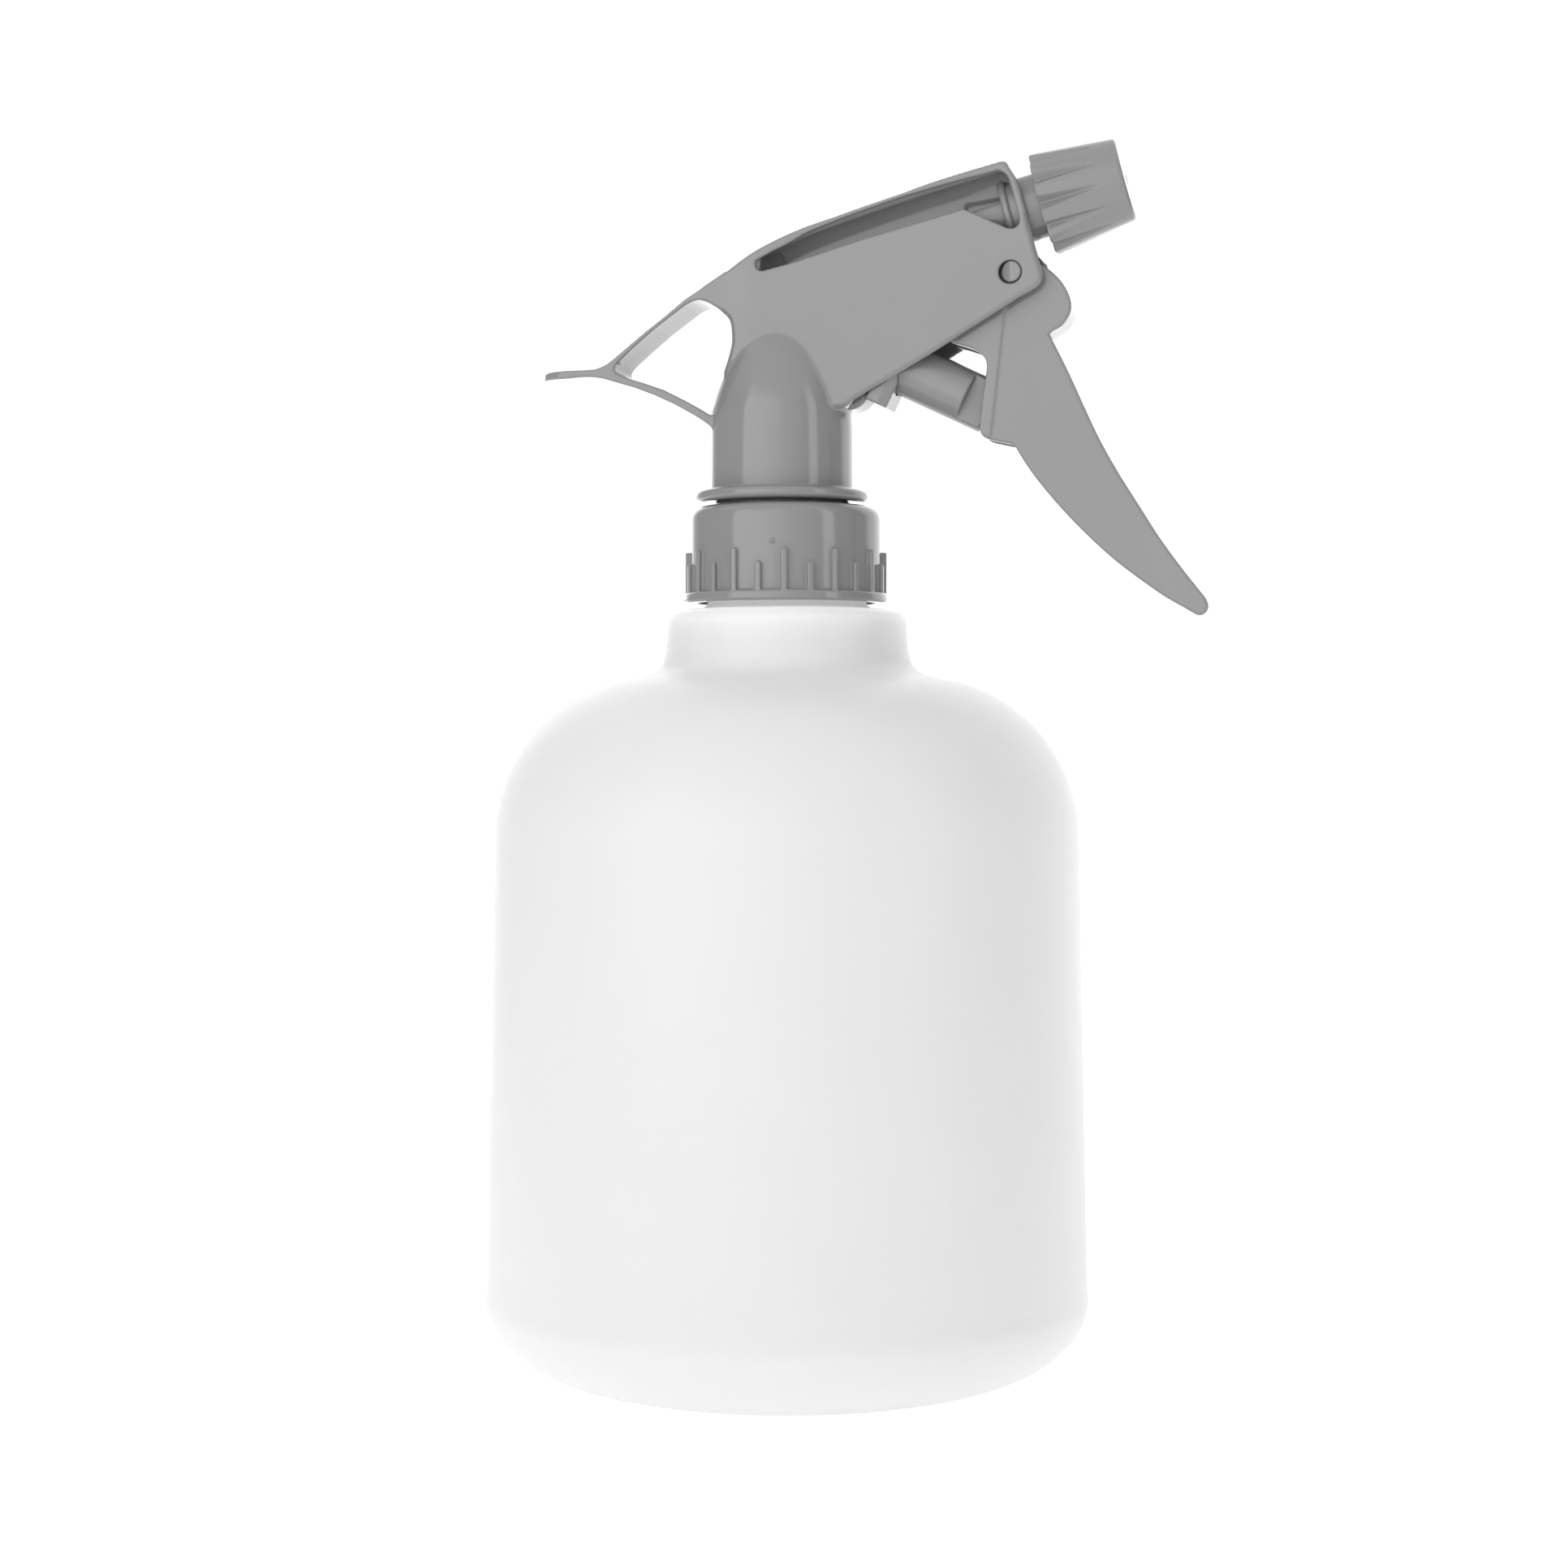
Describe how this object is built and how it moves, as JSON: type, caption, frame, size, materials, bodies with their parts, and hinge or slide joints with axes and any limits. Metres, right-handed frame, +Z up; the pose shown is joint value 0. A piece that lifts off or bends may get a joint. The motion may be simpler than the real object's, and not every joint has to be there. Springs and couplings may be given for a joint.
{
  "type": "trigger spray bottle",
  "caption": "Round frosted plastic bottle with a ribbed screw cap and a grey trigger spray head: open-sided housing with a hook tail, pump piston, dip tube and fluted nozzle cap.",
  "frame": {"origin": "centre of the bottle's flat base, on the surface it stands on", "axes": "+Z up along the bottle's axis, +X the way the nozzle points, +Y to the left of the nozzle"},
  "size_m": [0.1162, 0.0972, 0.196],
  "materials": {
    "bottle_plastic": "frosted translucent natural polyethylene, soft sheen",
    "head_plastic": "glossy light grey polypropylene",
    "pump_plastic": "satin pale grey polypropylene",
    "natural_plastic": "natural translucent polyethylene",
    "seal_rubber": "matt dark elastomer",
    "steel": "plain stainless steel wire and balls"
  },
  "bodies": {
    "bottle_body": {"bottle": "bottle_plastic"},
    "head": {"housing": "head_plastic", "pump_body": "pump_plastic", "cylinder_retainer": "pump_plastic", "tube_adapter": "natural_plastic", "dip_tube": "natural_plastic", "vent_seal": "seal_rubber", "neck_gasket": "natural_plastic", "nozzle_tube": "head_plastic", "swirl_core": "natural_plastic", "return_spring": "steel", "outlet_spring": "steel"},
    "cap": {"screw_cap": "head_plastic"},
    "trigger_lever": {"trigger": "head_plastic"},
    "plunger": {"piston": "pump_plastic", "piston_seal": "seal_rubber"},
    "inlet_valve": {"inlet_ball": "steel"},
    "outlet_valve": {"outlet_ball": "steel"},
    "nozzle_slide": {"nozzle_seal": "seal_rubber"},
    "nozzle": {"nozzle_cap": "head_plastic"}
  },
  "joints": [
    {"name": "head_lift", "type": "slide", "parent": "bottle_body", "child": "head", "axis": [0, 0, 1], "range_m": [0, 0.00634]},
    {"name": "cap_turn", "type": "hinge", "parent": "head", "child": "cap", "pos_m": [0, 0, 0.13], "axis": [0, 0, 1], "range_deg": [0, 540]},
    {"name": "trigger_squeeze", "type": "hinge", "parent": "head", "child": "trigger_lever", "pos_m": [0.037, 0, 0.1749], "axis": [0, 1, 0], "range_deg": [0, 22]},
    {"name": "piston_stroke", "type": "slide", "parent": "head", "child": "plunger", "axis": [-0.9026, 0, 0.4305], "range_m": [0, 0.00779], "stiffness_N_per_m": 900, "springref_m": -0.009, "deforming": ["return_spring"]},
    {"name": "nozzle_travel", "type": "slide", "parent": "head", "child": "nozzle_slide", "axis": [0.9659, 0, 0.2588], "range_m": [0, 0.002]},
    {"name": "nozzle_turn", "type": "hinge", "parent": "nozzle_slide", "child": "nozzle", "pos_m": [0.0414, 0, 0.1865], "axis": [0.9659, 0, 0.2588], "range_deg": [0, 360]},
    {"name": "inlet_ball_lift", "type": "slide", "parent": "head", "child": "inlet_valve", "axis": [0, 0, 1], "range_m": [0, 0.0015]},
    {"name": "outlet_ball_lift", "type": "slide", "parent": "head", "child": "outlet_valve", "axis": [0.9659, 0, 0.2588], "range_m": [0, 0.0012], "stiffness_N_per_m": 40, "springref_m": -0.002, "deforming": ["outlet_spring"]}
  ],
  "couplings": [
    {"joint": "cap_turn", "follows": "head_lift", "rad_per_m": 1485.4},
    {"joint": "trigger_squeeze", "follows": "piston_stroke", "rad_per_m": 49.261},
    {"joint": "nozzle_turn", "follows": "nozzle_travel", "rad_per_m": 3141.6}
  ]
}
